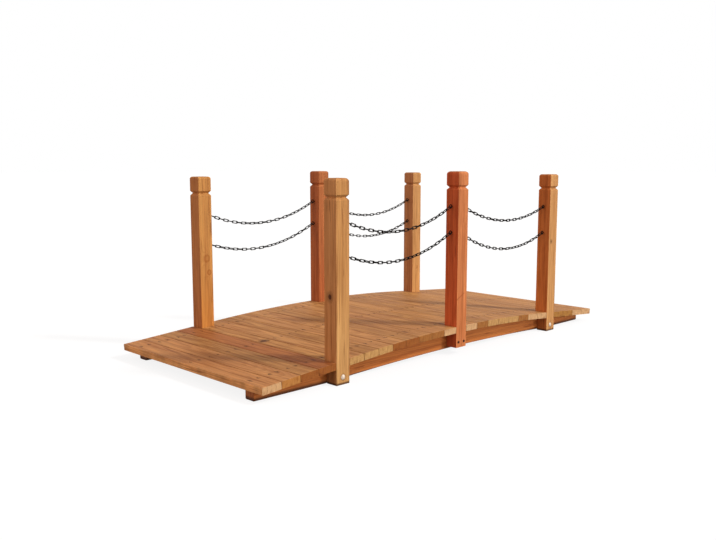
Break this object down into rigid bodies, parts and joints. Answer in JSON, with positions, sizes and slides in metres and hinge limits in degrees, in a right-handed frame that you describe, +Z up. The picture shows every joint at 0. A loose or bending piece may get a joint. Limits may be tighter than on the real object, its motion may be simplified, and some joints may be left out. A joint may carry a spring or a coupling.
{
  "type": "garden moon bridge",
  "caption": "Small arched garden bridge in oiled softwood, with a cross-boarded deck on side beams, square posts with grooved heads and hanging steel chains as rails.",
  "frame": {"origin": "on the ground under the middle of the deck", "axes": "+X along the walk towards the right end, +Y across to the far side, +Z up"},
  "size_m": [1.5252, 0.673, 0.553],
  "materials": {
    "deck_wood": "oiled softwood boards, grain along the board",
    "beam_wood": "oiled softwood, grain along the beam",
    "post_wood": "oiled softwood, grain along the post",
    "chain_steel": "black coated steel wire",
    "eye_steel": "black coated steel wire",
    "bolt_zinc": "dull zinc plating",
    "screw_steel": "dark coated steel"
  },
  "bodies": {
    "root": {"beam_far": "beam_wood", "beam_near": "beam_wood", "board_01": "deck_wood", "board_02": "deck_wood", "board_03": "deck_wood", "board_04": "deck_wood", "board_05": "deck_wood", "board_06": "deck_wood", "board_07": "deck_wood", "board_08": "deck_wood", "board_09": "deck_wood", "board_10": "deck_wood", "board_11": "deck_wood", "board_12": "deck_wood", "board_13": "deck_wood", "board_14": "deck_wood", "board_15": "deck_wood", "board_16": "deck_wood", "board_17": "deck_wood", "board_18": "deck_wood", "board_19": "deck_wood", "board_20": "deck_wood", "board_21": "deck_wood", "board_22": "deck_wood", "board_23": "deck_wood", "board_24": "deck_wood", "bolt_heads": "bolt_zinc", "chain_far_left_lower": "chain_steel", "chain_far_left_upper": "chain_steel", "chain_far_right_lower": "chain_steel", "chain_far_right_upper": "chain_steel", "chain_near_left_lower": "chain_steel", "chain_near_left_upper": "chain_steel", "chain_near_right_lower": "chain_steel", "chain_near_right_upper": "chain_steel", "eye_screws_far": "eye_steel", "eye_screws_near": "eye_steel", "post_far_left": "post_wood", "post_far_mid": "post_wood", "post_far_right": "post_wood", "post_near_left": "post_wood", "post_near_mid": "post_wood", "post_near_right": "post_wood", "screw_heads": "screw_steel", "short_board_left": "deck_wood", "short_board_mid": "deck_wood", "short_board_right": "deck_wood"}
  },
  "joints": []
}
